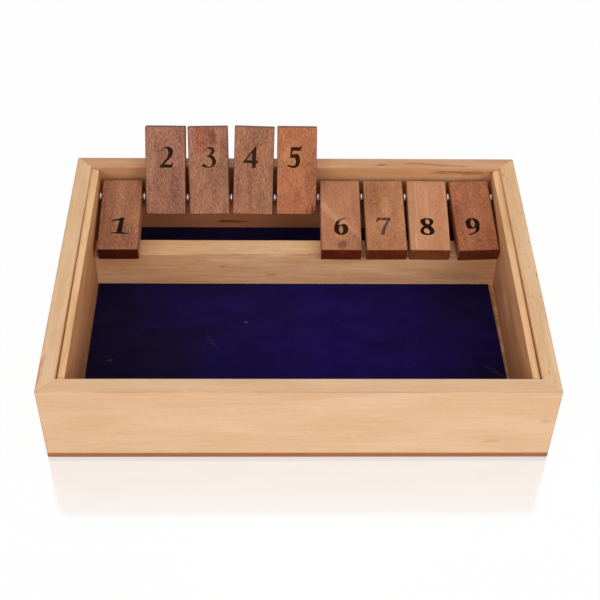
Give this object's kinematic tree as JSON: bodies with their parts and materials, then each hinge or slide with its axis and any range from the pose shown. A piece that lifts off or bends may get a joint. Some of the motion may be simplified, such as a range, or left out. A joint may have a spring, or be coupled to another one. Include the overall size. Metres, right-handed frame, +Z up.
{
  "type": "shut the box game",
  "caption": "Shallow mitred wooden dice tray with a felt floor and a row of numbered tiles that flip over on a steel rod.",
  "frame": {"origin": "middle of the base panel's underside", "axes": "+X along the row of tiles, towards the highest number; +Y from the front of the dice tray to the tiles; +Z up"},
  "size_m": [0.254, 0.1843, 0.0752],
  "materials": {
    "beech": "pale beech under thin satin lacquer",
    "beech_liner": "warmer beech strip, thin satin lacquer",
    "plywood": "thin plywood, its edge darker than the boards",
    "navy_felt": "short-napped dark navy felt",
    "rod_steel": "drawn steel wire",
    "ring_metal": "bright plated metal",
    "rosewood_dark": "dark red-brown rosewood, open pores, satin",
    "rosewood": "purple-brown rosewood, open pores, satin",
    "rosewood_warm": "orange-brown rosewood, open pores, satin",
    "number_ink": "printed black ink, thin and partly worn"
  },
  "bodies": {
    "case": {"base_panel": "plywood", "front_board": "beech", "back_board": "beech", "left_board": "beech", "right_board": "beech", "left_liner": "beech_liner", "right_liner": "beech_liner", "divider_bar": "beech", "tray_felt": "navy_felt", "well_felt": "navy_felt", "hinge_rod": "rod_steel", "spacer_rings": "ring_metal"},
    "tile_1": {"tile_1": "rosewood_dark"},
    "tile_2": {"tile_2": "rosewood"},
    "tile_3": {"tile_3": "rosewood"},
    "tile_4": {"tile_4": "rosewood"},
    "tile_5": {"tile_5": "rosewood_warm"},
    "tile_6": {"tile_6": "rosewood_warm"},
    "tile_7": {"tile_7": "rosewood_warm"},
    "tile_8": {"tile_8": "rosewood_warm"},
    "tile_9": {"tile_9": "rosewood_dark"}
  },
  "joints": [
    {"name": "tile_1_flip", "type": "hinge", "parent": "case", "child": "tile_1", "pos_m": [-0.10003, 0.06823, 0.03841], "axis": [-1, 0, 0], "range_deg": [0, 134]},
    {"name": "tile_2_flip", "type": "hinge", "parent": "case", "child": "tile_2", "pos_m": [-0.07502, 0.06823, 0.03841], "axis": [1, 0, 0], "range_deg": [0, 134]},
    {"name": "tile_3_flip", "type": "hinge", "parent": "case", "child": "tile_3", "pos_m": [-0.05001, 0.06823, 0.03841], "axis": [1, 0, 0], "range_deg": [0, 134]},
    {"name": "tile_4_flip", "type": "hinge", "parent": "case", "child": "tile_4", "pos_m": [-0.02501, 0.06823, 0.03841], "axis": [1, 0, 0], "range_deg": [0, 134]},
    {"name": "tile_5_flip", "type": "hinge", "parent": "case", "child": "tile_5", "pos_m": [0, 0.06823, 0.03841], "axis": [1, 0, 0], "range_deg": [0, 134]},
    {"name": "tile_6_flip", "type": "hinge", "parent": "case", "child": "tile_6", "pos_m": [0.02501, 0.06823, 0.03841], "axis": [-1, 0, 0], "range_deg": [0, 134]},
    {"name": "tile_7_flip", "type": "hinge", "parent": "case", "child": "tile_7", "pos_m": [0.05001, 0.06823, 0.03841], "axis": [-1, 0, 0], "range_deg": [0, 134]},
    {"name": "tile_8_flip", "type": "hinge", "parent": "case", "child": "tile_8", "pos_m": [0.07502, 0.06823, 0.03841], "axis": [-1, 0, 0], "range_deg": [0, 134]},
    {"name": "tile_9_flip", "type": "hinge", "parent": "case", "child": "tile_9", "pos_m": [0.10003, 0.06823, 0.03841], "axis": [-1, 0, 0], "range_deg": [0, 134]}
  ]
}
